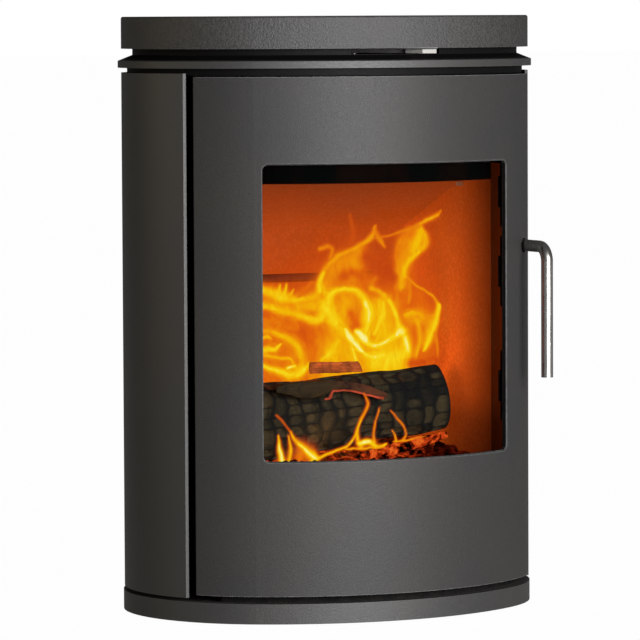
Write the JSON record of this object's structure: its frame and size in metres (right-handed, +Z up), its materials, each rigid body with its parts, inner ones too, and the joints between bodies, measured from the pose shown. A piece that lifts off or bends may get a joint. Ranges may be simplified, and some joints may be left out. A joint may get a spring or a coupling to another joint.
{
  "type": "wood stove",
  "caption": "Free-standing oval cast iron wood stove with a curved glass door, hanging bar handle, removable ash pan and rear flue outlet.",
  "frame": {"origin": "on the floor under the middle of the stove's width and depth, the flue spigot counted in the depth", "axes": "+Z up, -Y out of the glass door, +X to the right seen from the front"},
  "size_m": [0.442, 0.3727, 0.609],
  "materials": {
    "painted_cast_iron": "matte",
    "painted_sheet": "matte",
    "bare_cast_iron": "matte",
    "sheet_steel": "satin",
    "steel_hardware": "satin",
    "stainless": "satin",
    "ceramic_glass": "gloss",
    "glass_rope": "matte",
    "fire_board": "matte"
  },
  "bodies": {
    "stove": {"base_plate": "painted_cast_iron", "collar_ring": "painted_cast_iron", "top_plate": "painted_cast_iron", "side_panel_left": "painted_sheet", "side_panel_right": "painted_sheet", "rear_heat_shield": "painted_sheet", "front_frame": "bare_cast_iron", "firebox_wall_left": "bare_cast_iron", "firebox_wall_right": "bare_cast_iron", "firebox_wall_rear": "bare_cast_iron", "firebox_top": "bare_cast_iron", "hearth_plate": "bare_cast_iron", "grate": "bare_cast_iron", "log_guard": "bare_cast_iron", "hinge_bracket_lower": "bare_cast_iron", "hinge_bracket_upper": "bare_cast_iron", "outlet_blanking_plate": "bare_cast_iron", "latch_keeper": "bare_cast_iron", "flue_spigot": "bare_cast_iron", "airwash_deflector": "sheet_steel", "ash_box": "sheet_steel", "air_box": "sheet_steel", "panel_brackets": "sheet_steel", "riddling_rails": "sheet_steel", "baffle_rests": "sheet_steel", "collar_feet": "sheet_steel", "top_plate_spacers": "sheet_steel", "shield_bushes": "sheet_steel", "levelling_screws": "steel_hardware", "hinge_pins": "steel_hardware", "hinge_washers": "steel_hardware", "panel_bracket_screws": "steel_hardware", "shield_screws": "steel_hardware", "blanking_plate_screws": "steel_hardware", "spigot_screws": "steel_hardware", "lining_left": "fire_board", "lining_right": "fire_board", "lining_rear": "fire_board", "baffle": "fire_board"},
    "door": {"door_shell": "painted_cast_iron", "door_glass": "ceramic_glass", "glass_gasket": "glass_rope", "glass_clips": "sheet_steel", "glass_clip_screws": "steel_hardware", "door_rope_seal": "glass_rope", "handle_bush": "steel_hardware"},
    "handle": {"door_handle": "stainless", "latch_tongue": "steel_hardware", "latch_nut": "steel_hardware"},
    "air_control": {"air_lever": "stainless", "air_valve_spindle": "steel_hardware", "air_valve_disc": "sheet_steel"},
    "riddler": {"riddling_plate": "sheet_steel", "riddling_rod": "steel_hardware"},
    "ash_drawer": {"ash_pan": "sheet_steel", "ash_pan_pull": "steel_hardware"},
    "cover": {"top_cover": "painted_cast_iron"}
  },
  "joints": [
    {"name": "door_hinge", "type": "hinge", "parent": "stove", "child": "door", "pos_m": [-0.17585, -0.09828, 0.066], "axis": [0, 0, -1], "range_deg": [0, 105]},
    {"name": "handle_turn", "type": "hinge", "parent": "door", "child": "handle", "pos_m": [0.177, -0.13364, 0.3715], "axis": [0, -1, 0], "range_deg": [0, 90]},
    {"name": "air_lever_turn", "type": "hinge", "parent": "stove", "child": "air_control", "pos_m": [0, -0.07563, 0.571], "axis": [0, 0, -1], "range_deg": [0, 34.2]},
    {"name": "riddle_slide", "type": "slide", "parent": "stove", "child": "riddler", "axis": [0, 1, 0], "range_m": [0, 0.012]},
    {"name": "ash_pan_slide", "type": "slide", "parent": "stove", "child": "ash_drawer", "axis": [0, -1, 0], "range_m": [0, 0.02]},
    {"name": "cover_lift", "type": "slide", "parent": "stove", "child": "cover", "axis": [0, 0, 1], "range_m": [0, 0.06]}
  ]
}
